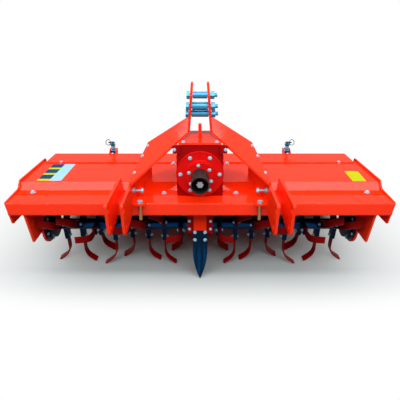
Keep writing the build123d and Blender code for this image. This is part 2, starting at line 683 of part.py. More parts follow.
def rear_board():
    """Curved trailing board with its knuckles and two pairs of lugs for the spring rods."""
    top_z = HINGE_Z - KNUCKLE_RADIUS / 2
    middle = (HINGE_Y + BOARD_REACH / 2 - BOARD_CURVE, top_z / 2)
    front = ThreePointArc((HINGE_Y - BOARD_SHEET, top_z), (middle[0] - BOARD_SHEET, middle[1]),
                          (BOARD_END - BOARD_SHEET, 0))
    back = ThreePointArc((HINGE_Y, top_z), middle, (BOARD_END, 0))
    outline = make_face([front, Line(front @ 1, back @ 1), back, Line(back @ 0, front @ 0)])
    board = extrude(
        Plane.YZ.offset(-BOARD_HALF_WIDTH) * outline, amount=2 * BOARD_HALF_WIDTH, dir=(1, 0, 0)
    )
    bore = HINGE_RADIUS + RUNNING_GAP
    for x in hinge_places():
        notch = KNUCKLE_LENGTH / 2 + RUNNING_GAP
        board -= along_x(KNUCKLE_RADIUS + BOARD_GAP, x - notch, x + notch, HINGE_Y, HINGE_Z)
        for side in (-1, 1):
            place = x + side * (KNUCKLE_LENGTH + RUNNING_GAP)
            board -= along_x(bore, place - notch, place + notch, HINGE_Y, HINGE_Z)
            board += knuckle(place, KNUCKLE_LENGTH, bore)
    y, z = ROD_LOW
    lug_line = [
        (middle[0] - BOARD_SHEET / 2, z + ROD_LUG_HEIGHT),
        (y + ROD_EYE_RADIUS, z + ROD_EYE_RADIUS),
        (y + ROD_EYE_RADIUS, z - ROD_EYE_RADIUS),
        (middle[0] - BOARD_SHEET / 2, z - ROD_LUG_HEIGHT),
    ]
    for x in (-ROD_X, ROD_X):
        for face in (-1, 1):
            low = x + face * LUG_SPACING / 2 - LUG / 2
            board += upright(lug_line, low, low + LUG, [0, ROD_EYE_RADIUS / 2, ROD_EYE_RADIUS / 2, 0])
        pin_half = LUG_SPACING / 2
        board += along_x(ROD_RADIUS, x - pin_half, x + pin_half, y, z)
    return board


def hinge_places():
    """The hinges' places along X, the same on both sides."""
    return [side * x for x in KNUCKLES_X for side in (-1, 1)]


def rod_lugs():
    """Two ears on the rear beam that hold one trunnion."""
    y, z = TRUNNION
    outline = [
        (REAR_END, REAR_TOP),
        (REAR_END, REAR_TOP - REAR_LIP / 2),
        (y + TRUNNION_RADIUS, z - TRUNNION_RADIUS),
        (y + TRUNNION_RADIUS, z + TRUNNION_RADIUS),
        (y - TRUNNION_RADIUS, z + TRUNNION_RADIUS),
    ]
    ears = []
    for face in (-1, 1):
        low = ROD_X + face * LUG_SPACING / 2 - LUG / 2
        ear = upright(outline, low, low + LUG, [0, 0] + 3 * [TRUNNION_RADIUS / 2])
        ears.append(ear - along_x(ROD_RADIUS + RUNNING_GAP, low, low + LUG, y, z))
    return Compound(children=ears)


def on_rod(shape):
    """A shape made along +Z from the rod's lower pin, turned to the rod's lean."""
    return Pos(ROD_X, *ROD_LOW) * Rot(ROD_LEAN, 0, 0) * shape


def trunnion():
    """Cross block that turns between the ears, with a loose bore for the rod."""
    y, z = TRUNNION
    half = TRUNNION_WIDTH / 2
    pin_half = (LUG_SPACING + LUG) / 2
    body = along_x(TRUNNION_RADIUS, ROD_X - half, ROD_X + half, y, z)
    body += along_x(ROD_RADIUS, ROD_X - pin_half, ROD_X + pin_half, y, z)
    bore = Cylinder(ROD_RADIUS + TRUNNION_BORE_GAP, 4 * TRUNNION_RADIUS)
    return body - on_rod(Pos(0, 0, ROD_LENGTH) * bore)


def board_rod():
    """Round rod with an eye at the board, and a collar and cap above the spring."""
    tip = ROD_LENGTH + ROD_TOP
    rod = Pos(0, 0, tip / 2) * Cylinder(ROD_RADIUS, tip)
    rod += Rot(0, 90, 0) * Cylinder(ROD_EYE_RADIUS, LUG_SPACING - LUG - 2 * RUNNING_GAP)
    rod -= Rot(0, 90, 0) * Cylinder(ROD_RADIUS + RUNNING_GAP, LUG_SPACING)
    rod += Pos(0, 0, tip - ROD_CAP - COLLAR / 2) * Cylinder(COLLAR_RADIUS, COLLAR)
    return on_rod(rod)


def rod_spring():
    """Coil spring between the trunnion and the rod's collar."""
    low = ROD_LENGTH + TRUNNION_RADIUS + SPRING_WIRE
    high = ROD_LENGTH + ROD_TOP - ROD_CAP - COLLAR - SPRING_WIRE / 2
    mid = SPRING_RADIUS - SPRING_WIRE / 2
    path = Helix((high - low) / SPRING_TURNS, high - low, mid)
    wire = sweep((path ^ 0) * Circle(SPRING_WIRE / 2), path)
    return on_rod(Pos(0, 0, low) * wire)


HITCH = hitch_plate(HITCH_OUTER_X)
BOARD = rear_board()

for name, make in (
    ("front_beam", front_beam),
    ("centre_deck", centre_deck),
    ("rear_beam", rear_beam),
    ("drive_case", drive_case),
    ("gearbox_body", gearbox_body),
    ("gearbox_cover", gearbox_cover),
    ("bearing_cap", bearing_cap),
    ("pto_guard", pto_guard),
    ("pto_shaft", pto_shaft),
    ("bridge_plate", bridge_plate),
    ("shaft_hook", shaft_hook),
    ("share_bracket", share_bracket),
    ("share", share),
):
    save(name, make())

for name, shape in (
    ("wing_cover", bent(COVER_LINE, SHEET, DECK_HALF_WIDTH, INSIDE_HALF_WIDTH)),
    ("end_plate", end_plate()),
    ("side_plate", side_plate()),
    ("bearing_housing", bearing_housing()),
    ("rotor", rotor()),
    ("hitch_outer", HITCH),
    ("hitch_inner", hitch_plate(HITCH_INNER_X)),
    ("aframe", aframe()),
    ("clamp", clamp()),
    ("rod_lugs", rod_lugs()),
    ("trunnion", trunnion()),
    ("board_rod", board_rod()),
    ("rod_spring", rod_spring()),
):
    save_pair(name, shape)

save("rear_board", BOARD)
save("top_link_pin", mast_pin(*MAST_PINS[0]))
save("mast_spacers", Compound(children=[mast_pin(*MAST_PINS[1]), mast_pin(*MAST_PINS[2])]))
save("board_hinges", Compound(children=[board_hinge(x) for x in hinge_places()]))
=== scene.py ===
"""Looks of the rotavator: paint on its CAD pieces, bolts, stickers, welds, linch pins, and the studio."""

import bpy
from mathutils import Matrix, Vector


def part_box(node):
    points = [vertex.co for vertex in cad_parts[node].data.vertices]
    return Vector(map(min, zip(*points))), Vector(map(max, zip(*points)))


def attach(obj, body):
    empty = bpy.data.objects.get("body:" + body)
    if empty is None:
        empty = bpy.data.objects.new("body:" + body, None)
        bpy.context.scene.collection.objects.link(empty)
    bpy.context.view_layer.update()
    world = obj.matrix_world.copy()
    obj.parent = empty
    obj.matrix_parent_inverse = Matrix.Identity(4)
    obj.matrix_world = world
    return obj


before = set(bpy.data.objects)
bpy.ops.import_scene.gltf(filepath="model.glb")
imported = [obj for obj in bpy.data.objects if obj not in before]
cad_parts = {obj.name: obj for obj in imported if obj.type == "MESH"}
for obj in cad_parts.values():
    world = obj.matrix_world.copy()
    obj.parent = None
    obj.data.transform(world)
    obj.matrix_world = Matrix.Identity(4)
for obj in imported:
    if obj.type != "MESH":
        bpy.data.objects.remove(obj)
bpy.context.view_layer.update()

from math import pi, radians

import bpy
import numpy as np
from bpy.props import FloatProperty, FloatVectorProperty, IntProperty, PointerProperty

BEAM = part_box("front_beam")
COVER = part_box("gearbox_cover")
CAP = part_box("bearing_cap")
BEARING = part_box("bearing_housing_right")

# Camera, in metres from the beam's front face and the ground
CAMERA_BACK = 1.863
CAMERA_HEIGHT = 1.3884

# Rotor and its bearings, in metres
AXIS_Y = float(BEARING[0].y + BEARING[1].y) / 2
AXIS_Z = float(BEARING[0].z + BEARING[1].z) / 2
TUBE_REACH = 0.0345
HOLDER_END = 0.1055
HOLDER_HALF_WIDTH = 0.013
HOLDER_BOLT_RADIUS = 0.085
STATION_PHASES = np.radians((-9, -5, 90, 4, -17, -8, 3, -29))
FIRST_STATION = 0.842
STATION_PITCH = 0.10343
BLADES_PER_STATION = 3
BEARING_BOLTS = 6
BEARING_FIRST_BOLT = radians(15)
BEARING_BOLT_CIRCLE = 0.091
BEARING_FACE_X = 0.924

# Share, its bracket and the clamps, in metres, with the share's painted sheen streaks in radians to the
# metre
POST_HALF_WIDTH = 0.037
SHEEN_FROM = 0.27
SHEEN_TO = 0.15
STREAKS = 190.0
STREAK_WANDER = 5.0
CLAMP_BOLT_X = 0.312
CLAMP_BOLT_Y = -0.019
CLAMP_BOLT_REACH = 0.0155
CLAMP_PLATE = 0.010
CLAMP_SKIN = 0.0001

# Hood and struts, in millimetres from the middle plane, the beam's front face and the ground
COVER_TOP = 578
LIP_TOP = 540
STRUT_CORNER_X = 354
STRUT_CORNER_Z = 654
STRUT_SLOPE = 0.6334
STRUT_TILT = 0.318

# Striped sticker: its front and a pair of stripes in millimetres, its inner edge in metres
STRIPES_FRONT = 230
STRIPE_PAIR = 98
STRIPE_YELLOW = 0.3
STRIPE_EDGE = -0.868

# Weld beads and rims, in metres
WELD_FOOT = 0.026
WELD_CORNER = 0.012
WELD_END = 0.004
RIM_STEPS = 72

# Linch pins: the pin's profile in millimetres, the rest in metres
PIN_RADII = (4.5, 4.5, 3.5)
PIN_HEIGHTS = (-15, 25, 27)
PIN_SETBACK = 0.011
PIN_DROP = 0.010
LOOP_OUT = 0.027
LOOP_AHEAD = 0.004
LOOP_RAISE = 0.002
LOOP_RADIUS = 0.019
LOOP_WIRE = 0.0022

# Meshes
SHARP_EDGE = radians(38)
HEAD_SPIN = 0.9
SMALL_SIDES = 12

# Floor, in metres: the shaded ground, then the painted shade along the trailing board's lower edge, with
# each side of it given as where it starts and where it is full
FLOOR_HALF = 30.0
FLOOR_DROP = -0.0005
SHADE_Y = 0.425
SHADE_HALF_DEPTH = 0.575
SHADE_HALF_WIDTH = 0.4
SHADE_BESIDE = 0.3
FADE_REACH = 0.45
PAINTED_SHADE_BESIDE = (1.2, 0.94)
PAINTED_SHADE_FRONT = (0.32, 0.56)
PAINTED_SHADE_BACK = (0.84, 0.57)
PAINTED_SHADE_TONE = 0.24

bl_info = {
    "name": "Rotavator looks",
    "version": (1, 0, 0),
    "blender": (4, 5, 0),
    "location": "3D View > Sidebar > Rotavator",
    "description": "Paints the rotavator's CAD pieces and adds its bolts, stickers, welds and studio",
    "category": "Object",
}


def linear(red, green, blue):
    """Scene-linear colour of a display colour given in 0 to 255."""
    share = np.array((red, green, blue)) / 255
    curve = np.where(share <= 0.04045, share / 12.92, ((share + 0.055) / 1.055) ** 2.4)
    return tuple(float(value) for value in curve)


def colour(label, words, *display):
    """A colour property with its default given as a display colour."""
    return FloatVectorProperty(
        name=label, description=words, subtype="COLOR", size=3, min=0, max=1, default=linear(*display)
    )


def length(label, words, millimetres):
    """A length property with its default given in millimetres."""
    return FloatProperty(
        name=label, description=words, subtype="DISTANCE", unit="LENGTH", min=0, default=millimetres / 1000
    )


class RotavatorPaint(bpy.types.PropertyGroup):
    """Colours of the machine's finishes."""

    hood_red: colour("Hood red", "Paint of the hood, linkage and trailing board", 254, 48, 10)
    # The gearbox body and drive case get a darker red than the cover and cap, as painted shade
    casting_red: colour("Casting red", "Paint of the gearbox and drive case", 150, 2, 4)
    cover_red: colour("Cover red", "Paint of the gearbox's round cover and bearing cap", 204, 12, 10)
    blade_red: colour("Blade red", "Paint of the blades", 132, 8, 6)
    rotor_black: colour("Rotor black", "Paint of the rotor tube, holders and bearings", 2, 36, 70)
    share_navy: colour("Share navy", "Paint of the centre share", 1, 42, 72)
    guard_black: colour("Guard black", "Plastic of the shaft guard", 20, 21, 23)
    zinc: colour("Zinc", "Plated pins and rods", 66, 134, 172)
    bolt_zinc: colour("Bolt zinc", "Plated heads of bolts and nuts, and coil springs", 156, 194, 212)
    clamp_bolt: colour("Clamp bolt", "Yellow-plated long bolts of the clamps", 158, 122, 82)
    bright_steel: colour("Bright steel", "Machined input shaft", 150, 156, 162)
    pin_dark: colour("Pin dark", "Linch pins of the board's rods", 40, 42, 46)
    sticker_white: colour("Sticker white", "Blank panel of the left sticker", 146, 192, 208)
    sticker_blue: colour("Sticker blue", "Wide stripes of the left sticker", 2, 58, 92)
    sticker_yellow: colour("Sticker yellow", "Narrow stripes and right sticker", 178, 184, 0)


class RotavatorHardware(bpy.types.PropertyGroup):
    """Sizes of the small fittings."""

    cover_bolt: length("Cover bolt", "Head radius of the gearbox cover's bolts", 8)
    cap_bolt: length("Cap bolt", "Head radius of the bearing cap's bolts", 7)
    hood_bolt: length("Hood bolt", "Head radius of the bolts in the covers and the deck", 11)
    bridge_bolt: length("Bridge bolt", "Head radius of the bridge plate's bolts", 8.25)
    ear_bolt: length("Ear bolt", "Head radius of the bolts in the gearbox's ears", 6.6)
    strut_bolt: length("Strut bolt", "Head radius of the bolts on the struts", 7.15)
    stud_nut: length("Stud nut", "Nut radius of the studs through the legs' webs", 12.65)
    share_bolt: length("Share bolt", "Head radius of the share's bolts", 8)
    flange_bolt: length("Flange bolt", "Head radius of the bolts in the share's bracket", 6)
    holder_bolt: length("Holder bolt", "Head radius of the bolts in the blade holders", 9)
    bearing_bolt: length("Bearing bolt", "Head radius of the rotor bearings' bolts", 7.92)
    rim: length("Cast rim", "Radius of the rounded rims on the gearbox cover", 4)
    weld: length("Weld bead", "Radius of the weld beads", 3.5)
    sticker: length("Sticker", "Thickness of the stickers", 0.6)
    bolt_sides: IntProperty(
        name="Washer sides", description="Facets round a washer", min=8, max=64, default=20
    )


class RotavatorStudio(bpy.types.PropertyGroup):
    """Camera and light."""

    camera_place: FloatVectorProperty(
        name="Camera place", description="Where the camera stands", subtype="TRANSLATION", unit="LENGTH",
        size=3, default=(0, float(BEAM[0].y) - CAMERA_BACK, CAMERA_HEIGHT),
    )
    camera_dip: FloatProperty(
        name="Camera dip", description="Angle of the view below level", subtype="ANGLE", unit="ROTATION",
        default=radians(24),
    )
    lens: FloatProperty(name="Lens", description="Focal length in millimetres", min=1, default=35.1)
    key_power: FloatProperty(
        name="Key light", description="Power of the soft light overhead", unit="POWER", min=0, default=70
    )
    front_power: FloatProperty(
        name="Front light", description="Power of the soft light in front", unit="POWER", min=0, default=196
    )
    back_power: FloatProperty(
        name="Back light", description="Power of the soft light behind", unit="POWER", min=0, default=110
    )
    sky: FloatProperty(name="Sky", description="Strength of the even light all round", min=0, default=0.25)
    floor: colour("Floor", "Colour of the floor", 176, 186, 186)
    floor_bounce: colour("Floor bounce", "Floor as the machine's underside sees it", 120, 124, 128)


class Signal:
    """An output socket in a material's nodes, on which Python's operators add Math nodes."""

    def __init__(self, tree, socket=None):
        self.tree = tree
        self.socket = socket

    def node(self, kind, settings=None, sockets=None, output=0):
        """Make a node: its settings are set first, then each socket gets its value or link."""
        made = self.tree.nodes.new(kind)
        for name, value in (settings or {}).items():
            setattr(made, name, value)
        for key, value in (sockets or {}).items():
            if isinstance(value, Signal):
                self.tree.links.new(value.socket, made.inputs[key])
            else:
                made.inputs[key].default_value = value
        return Signal(self.tree, made.outputs[output] if made.outputs else None)

    def maths(self, operation, first, second):
        """A Math node on two values."""
        return self.node("ShaderNodeMath", {"operation": operation}, {0: first, 1: second})

    def __add__(self, other):
        return self.maths("ADD", self, other)

    def __sub__(self, other):
        return self.maths("SUBTRACT", self, other)

    def __rsub__(self, other):
        return self.maths("SUBTRACT", other, self)

    def __mul__(self, other):
        return self.maths("MULTIPLY", self, other)

    def __pow__(self, other):
        return self.maths("POWER", self, other)

    def __gt__(self, other):
        return self.maths("GREATER_THAN", self, other)

    def __lt__(self, other):
        return self.maths("LESS_THAN", self, other)

    __radd__ = __add__
    __rmul__ = __mul__

    def place(self):
        """The point on the piece, in metres."""
        return self.node("ShaderNodeTexCoord", output="Object")

    def axes(self):
        """The point's X, Y and Z."""
        split = self.node("ShaderNodeSeparateXYZ", sockets={0: self.place()})
        outputs = split.socket.node.outputs
        return [Signal(self.tree, outputs[name]) for name in "XYZ"]

    def seen(self):
        """1 for a ray that the camera sees, straight or in a reflection, and 0 for one that only lights the
        machine."""
        outputs = self.node("ShaderNodeLightPath").socket.node.outputs
        kinds = ("Is Camera Ray", "Is Glossy Ray", "Is Transmission Ray")
        camera, glossy, through = [Signal(self.tree, outputs[kind]) for kind in kinds]
        return self.maths("MAXIMUM", self.maths("MAXIMUM", camera, glossy), through)

    def noise(self, scale, detail=2.0, roughness=0.5):
        """Cloudy noise from 0 to 1 at that many cells to the metre."""
        return self.node(
            "ShaderNodeTexNoise",
            sockets={"Vector": self.place(), "Scale": scale, "Detail": detail, "Roughness": roughness},
        )

    def between(self, value, low, high):
        """A soft step of the value: 0 at low, 1 at high."""
        return self.node(
            "ShaderNodeMapRange", {"interpolation_type": "SMOOTHSTEP"},
            {"Value": value, "From Min": low, "From Max": high},
        )

    def mix(self, mask, first, second):
        """The first colour where the mask is 0, the second where it is 1."""
        return self.node("ShaderNodeMix", {"data_type": "RGBA"}, {0: mask, 6: first, 7: second}, output=2)

    def bump(self, height, strength, distance):
        """A normal bent by a height."""
        return self.node(
            "ShaderNodeBump", sockets={"Strength": strength, "Distance": distance, "Height": height}
        )


def opaque(shade, factor=1.0):
    """A colour with alpha, made lighter or darker by a factor."""
    return tuple(min(1.0, value * factor) for value in shade) + (1.0,)


def material(name, surface):
    """A finish whose Principled sockets are what surface gives for the new material's nodes."""
    made = bpy.data.materials.new(f"{name}_finish")
    made.use_nodes = True
    made.node_tree.nodes.clear()
    start = Signal(made.node_tree)
    shader = start.node("ShaderNodeBsdfPrincipled", sockets=surface(start))
    start.node("ShaderNodeOutputMaterial", sockets={"Surface": shader})
    return made


def gloss_paint(shade, grain=260.0, roughness=0.32):
    """Sprayed gloss paint: cloudy tone, a light film of dust on it, and a fine orange-peel skin."""

    def surface(start):
        cloud = start.noise(2.2, 4.0)
        tone = start.mix(cloud, opaque(shade, 0.9), opaque(shade, 1.06))
        film = start.noise(14.0, 5.0, 0.62)
        return {
            "Base Color": tone,
            "Roughness": roughness - 0.06 + 0.16 * film,
            "Specular IOR Level": 0.0,
            "Coat Weight": 0.3,
            "Coat Roughness": 0.1,
            "Normal": start.bump(start.noise(grain, 2.0), 0.05, 0.001),
        }

    return surface


def cast_paint(shade):
    """Paint over sand-cast iron: the casting's rough skin shows through."""

    def surface(start):
        skin = start.noise(150.0, 4.0, 0.6)
        tone = start.mix(start.noise(6.0, 4.0), opaque(shade, 0.86), opaque(shade, 1.08))
        return {
            "Base Color": tone,
            "Roughness": 0.34 + 0.16 * start.noise(20.0, 3.0),
            "Specular IOR Level": 0.08,
            "Normal": start.bump(skin, 0.22, 0.0015),
        }

    return surface


def plated(shade, roughness=0.34, metal=0.92):
    """Plated or machined metal with cloudy tarnish and fine scratches."""

    def surface(start):
        cloud = start.noise(60.0, 4.0)
        tone = start.mix(cloud, opaque(shade, 0.78), opaque(shade, 1.05))
        return {
            "Base Color": tone,
            "Metallic": metal,
            "Roughness": roughness + 0.18 * start.noise(180.0, 3.0),
            "Normal": start.bump(start.noise(700.0, 2.0), 0.06, 0.0005),
        }

    return surface


def moulded(shade):
    """Moulded plastic with a fine leathery skin."""

    def surface(start):
        return {
            "Base Color": start.mix(start.noise(5.0, 3.0), opaque(shade, 0.8), opaque(shade, 1.25)),
            "Roughness": 0.42 + 0.14 * start.noise(30.0, 3.0),
            "Specular IOR Level": 0.3,
            "Normal": start.bump(start.noise(900.0, 2.0), 0.1, 0.0006),
        }

    return surface


def share_paint(shade):
    """Dark paint with a painted sheen: lighter streaks along the share from its middle to its tip, each
    a sine of the place across it, with its phase wandering by noise."""

    def surface(start):
        x, _, z = start.axes()
        wander = STREAK_WANDER * start.noise(14.0, 3.0)
        streak = 0.5 + 0.5 * start.maths("SINE", STREAKS * x + wander, 0.0)
        # Painted sheen: the streaks lighten the share's paint from its middle towards its tip
        sheen_reach = start.between(z, SHEEN_FROM, SHEEN_TO)
        tone = start.mix(sheen_reach * streak, opaque(shade, 0.5), opaque(shade, 1.7))
        return {
            "Base Color": tone,
            "Roughness": 0.36 + 0.14 * start.noise(40.0, 3.0),
            "Specular IOR Level": 0.06,
            "Normal": start.bump(start.noise(180.0, 2.0), 0.06, 0.001),
        }

    return surface


def two_finish(first, second, where):
    """The first finish where the mask is 0 and the second where it is 1."""

    def surface(start):
        one, two, mask = first(start), second(start), where(start)
        metal_one, metal_two = (finish.get("Metallic", 0.0) for finish in (one, two))
        return {
            "Base Color": start.mix(mask, one["Base Color"], two["Base Color"]),
            "Roughness": one["Roughness"] + mask * (two["Roughness"] - one["Roughness"]),
            "Metallic": metal_one + mask * (metal_two - metal_one),
            "Specular IOR Level": 0.05,
            "Normal": one["Normal"],
        }

    return surface


def beside_post(start):
    """1 on the share bracket's side flanges, which get the darker casting paint as painted shade, 0 on its
    middle post.
    """
    x, _, _ = start.axes()
    return x * x > POST_HALF_WIDTH ** 2


def on_clamp_bolt(start):
    """1 within the reach of a clamp's upright bolt, 0 on the clamp's plate round it."""
    x, y, z = start.axes()
    across = start.maths("ABSOLUTE", x, 0.0) - CLAMP_BOLT_X
    along = y - (BEAM[0].y + CLAMP_BOLT_Y)
    near = across * across + along * along < CLAMP_BOLT_REACH ** 2
    plate_middle = BEAM[1].z + CLAMP_PLATE / 2
    off_plate = start.maths("ABSOLUTE", z - plate_middle, 0.0) > CLAMP_PLATE / 2 + CLAMP_SKIN
    return near * off_plate


def above_beam(start):
    """1 above the front beam's top face, 0 below it."""
    return start.axes()[2] > BEAM[1].z


def rotor_paint(tube_shade, blade_shade):
    """Blue-black paint on the tube, lightened in clouds as a painted sheen, near black out to the holders'
    ends and red on the blades, by distance from the rotor's axis."""

    def surface(start):
        _, y, z = start.axes()
        distance = ((y - AXIS_Y) ** 2 + (z - AXIS_Z) ** 2) ** 0.5
        on_blade = distance > HOLDER_END
        cloud = start.noise(9.0, 4.0)
        # Painted sheen: the tube's blue is lightened in clouds up to nearly twice the paint's colour
        tube = start.mix(cloud, opaque(tube_shade, 0.9), opaque(tube_shade, 1.9))
        dark = start.mix(distance > TUBE_REACH, tube, opaque(tube_shade, 0.4))
        red = start.mix(cloud, opaque(blade_shade, 0.84), opaque(blade_shade, 1.08))
        return {
            "Base Color": start.mix(on_blade, dark, red),
            "Roughness": 0.24 + 0.18 * start.noise(26.0, 4.0),
            "Specular IOR Level": 0.04,
            "Metallic": 0.85 - 0.85 * on_blade,
            "Coat Weight": 0.04 - 0.04 * on_blade,
            "Coat Roughness": 0.1,
            "Normal": start.bump(start.noise(220.0, 3.0), 0.1, 0.001),
        }

    return surface


FINISHES = {
    "hood_red": (
        "front_beam", "centre_deck", "rear_beam", "end_plate_left", "end_plate_right", "side_plate_left",
        "side_plate_right", "wing_cover_left", "wing_cover_right", "hitch_inner_left", "hitch_inner_right",
        "hitch_outer_left", "hitch_outer_right", "aframe_left", "aframe_right", "bridge_plate",
        "rear_board", "board_hinges", "rod_lugs_left", "rod_lugs_right", "shaft_hook",
    ),
    "bracket_red": ("share_bracket",),
    "clamp_red": ("clamp_left", "clamp_right"),
    "casting_red": ("gearbox_body", "drive_case"),
    "cover_red": ("gearbox_cover", "bearing_cap"),
    "rotor_black": ("rotor_left", "rotor_right", "bearing_housing_left", "bearing_housing_right"),
    "share_navy": ("share",),
    "guard_black": ("pto_guard",),
    "bright_steel": ("pto_shaft",),
    "zinc": (
        "top_link_pin", "mast_spacers", "trunnion_left", "trunnion_right", "board_rod_left",
        "board_rod_right",
    ),
    "bolt_zinc": ("rod_spring_left", "rod_spring_right"),
    "pin_dark": (),
}


def at(x, y, z):
    """A place in millimetres from the middle plane, the beam's front face and the ground, in metres."""
    return (x / 1000, BEAM[0].y + y / 1000, z / 1000)


def halved(a, b, c, d):
    """Two triangles for each four-sided face with corners a, b, c and d."""
    return np.concatenate([np.stack([a, b, c], -1).reshape(-1, 3), np.stack([a, c, d], -1).reshape(-1, 3)])


def turned(radii, heights, sides):
    """A closed solid of revolution about Z: ring j has radius radii[j] at height heights[j], and a fan
    of triangles closes each end. Returns its vertices and triangles."""
    angle = 2 * pi * np.arange(sides) / sides
    circle = np.stack([np.cos(angle), np.sin(angle)], axis=1)
    rings = len(radii)
    flat = np.array(radii)[:, None, None] * circle[None]
    tall = np.broadcast_to(np.array(heights)[:, None, None], (rings, sides, 1))
    vertices = np.concatenate([flat, tall], axis=2).reshape(-1, 3)
    vertices = np.vstack([vertices, (0, 0, heights[0]), (0, 0, heights[-1])])
    step = np.arange(sides)
    after = (step + 1) % sides
    low = np.arange(rings - 1)[:, None] * sides
    walls = halved(low + step, low + after, low + sides + after, low + sides + step)
    bottom = np.stack([after, step, np.full(sides, rings * sides)], -1)
    last = (rings - 1) * sides
    top = np.stack([last + step, last + after, np.full(sides, rings * sides + 1)], -1)
    return vertices, np.concatenate([walls, bottom, top])


def joined(parts):
    """Several shapes as one: their vertices in a row, with each one's triangles counted on."""
    counts = np.cumsum([0] + [len(vertices) for vertices, _ in parts])
    vertices = np.concatenate([vertices for vertices, _ in parts])
    triangles = np.concatenate([triangles + count for (_, triangles), count in zip(parts, counts)])
    return vertices, triangles


def bolt_shape(sides):
    """A hexagon head on a round washer, with the head's radius as unit and the washer's foot at 0."""
    washer = turned([1.34, 1.34, 1.28], [-0.05, 0.16, 0.2], sides)
    head = turned([1.0, 1.0, 0.86], [0.2, 0.78, 0.9], 6)
    return joined([washer, head])


def nut_shape(sides):
    """A bolt's head with the rounded end of a thread standing out of it."""
    thread = turned([0.56, 0.56, 0.46], [0.85, 1.25, 1.36], sides)
    return joined([bolt_shape(sides), thread])


def stood(shape, places, directions, size):
    """Copies of a shape, scaled to size: each stands at its place with its Z along its direction, and is
    turned about it by HEAD_SPIN more than the one before."""
    vertices, triangles = shape
    places = np.atleast_2d(np.array(places, dtype=float))
    up = np.broadcast_to(np.array(directions, dtype=float), places.shape)
    up = up / np.linalg.norm(up, axis=1, keepdims=True)
    helper = np.where(np.abs(up[:, :1]) > 0.7, (0.0, 0.0, 1.0), (1.0, 0.0, 0.0))
    side = np.cross(helper, up)
    side = side / np.linalg.norm(side, axis=1, keepdims=True)
    third = np.cross(up, side)
    spin = HEAD_SPIN * np.arange(len(places))[:, None]
    first = np.cos(spin) * side + np.sin(spin) * third
    second = np.cross(up, first)
    axes = np.stack([first, second, up], axis=1)
    made = places[:, None, :] + size * np.einsum("vk,nkj->nvj", vertices, axes)
    counted = triangles[None] + (len(vertices) * np.arange(len(places)))[:, None, None]
    return made.reshape(-1, 3), counted.reshape(-1, 3)


def slab(corners, thickness):
    """A thin plate: four corners in a ring and the same four raised by the thickness."""
    foot = np.array(corners)
    vertices = np.concatenate([foot, foot + (0, 0, thickness)])
    faces = np.array([(3, 2, 1, 0), (4, 5, 6, 7), (0, 1, 5, 4), (1, 2, 6, 5), (2, 3, 7, 6), (3, 0, 4, 7)])
    return vertices, np.concatenate([faces[:, [0, 1, 2]], faces[:, [0, 2, 3]]])


def bead(start, end, radius, sides=8, step=0.004):
    """A weld bead: circles along a line whose radius swells and shrinks by a tenth with each ripple."""
    start, end = np.array(start), np.array(end)
    span = np.linalg.norm(end - start)
    count = int(span / step) * 2 + 1
    height = np.linspace(0, span, count)
    radii = radius * (1 + 0.1 * np.cos(pi * np.arange(count)))
    return stood(turned(radii, height, sides), [start], end - start, 1.0)


def ring(centre, radius, wire, normal, around=32, sides=8):
    """A torus: circles of the wire's radius round a circle of the ring's radius, across its normal."""
    along = 2 * pi * np.arange(around)[:, None] / around
    across = 2 * pi * np.arange(sides)[None] / sides
    reach = radius + wire * np.cos(across)
    points = np.stack([reach * np.cos(along), reach * np.sin(along), wire * np.sin(across) + 0 * along], -1)
    i, j = np.arange(around)[:, None], np.arange(sides)[None]
    i_next, j_next = (i + 1) % around, (j + 1) % sides
    triangles = halved(i * sides + j, i_next * sides + j, i_next * sides + j_next, i * sides + j_next)
    return stood((points.reshape(-1, 3), triangles), [centre], normal, 1.0)


def on_strut(x, y):
    """A place on the right strut's sloped top face, given from the middle plane and the beam's front."""
    return at(x, y, STRUT_CORNER_Z + (STRUT_CORNER_X - x) * STRUT_SLOPE + y * STRUT_TILT)


def film(start, tone):
    """Printed film with a satin skin, in the given tone."""
    return {
        "Base Color": tone,
        "Roughness": 0.4 + 0.1 * start.noise(40.0, 3.0),
        "Specular IOR Level": 0.02,
        "Normal": start.bump(start.noise(300.0, 2.0), 0.03, 0.0005),
    }


def plain_film(shade):
    """Film of one colour, a little uneven."""

    def surface(start):
        return film(start, start.mix(start.noise(5.0, 3.0), opaque(shade, 0.94), opaque(shade, 1.06)))

    return surface


def stripes(yellow, blue, white):
    """Pairs of a narrow yellow and a wide blue stripe across the left half, and a white right half."""

    def surface(start):
        x, y, _ = start.axes()
        count = (y - (BEAM[0].y + STRIPES_FRONT / 1000)) * (1000 / STRIPE_PAIR)
        share = start.maths("FRACT", count, 0.0)
        tone = start.mix(share < STRIPE_YELLOW, opaque(blue), opaque(yellow))
        return film(start, start.mix(x > STRIPE_EDGE, tone, opaque(white)))

    return surface


def piece(name, shape, finish, body="frame"):
    """A mesh object from vertices and triangles, painted and riding on a body."""
    vertices, triangles = shape
    mesh = bpy.data.meshes.new(name)
    mesh.from_pydata(vertices.tolist(), [], triangles.tolist())
    mesh.polygons.foreach_set("use_smooth", np.full(len(triangles), True))
    mesh.set_sharp_from_angle(angle=SHARP_EDGE)
    mesh.materials.append(bpy.data.materials[f"{finish}_finish"])
    made = bpy.data.objects.new(name, mesh)
    bpy.context.scene.collection.objects.link(made)
    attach(made, body)
    return made


def both_sides(places):
    """Places on the right and their mirror images on the left."""
    right = np.array(places, dtype=float)
    return np.concatenate([right, right * (-1, 1, 1)])


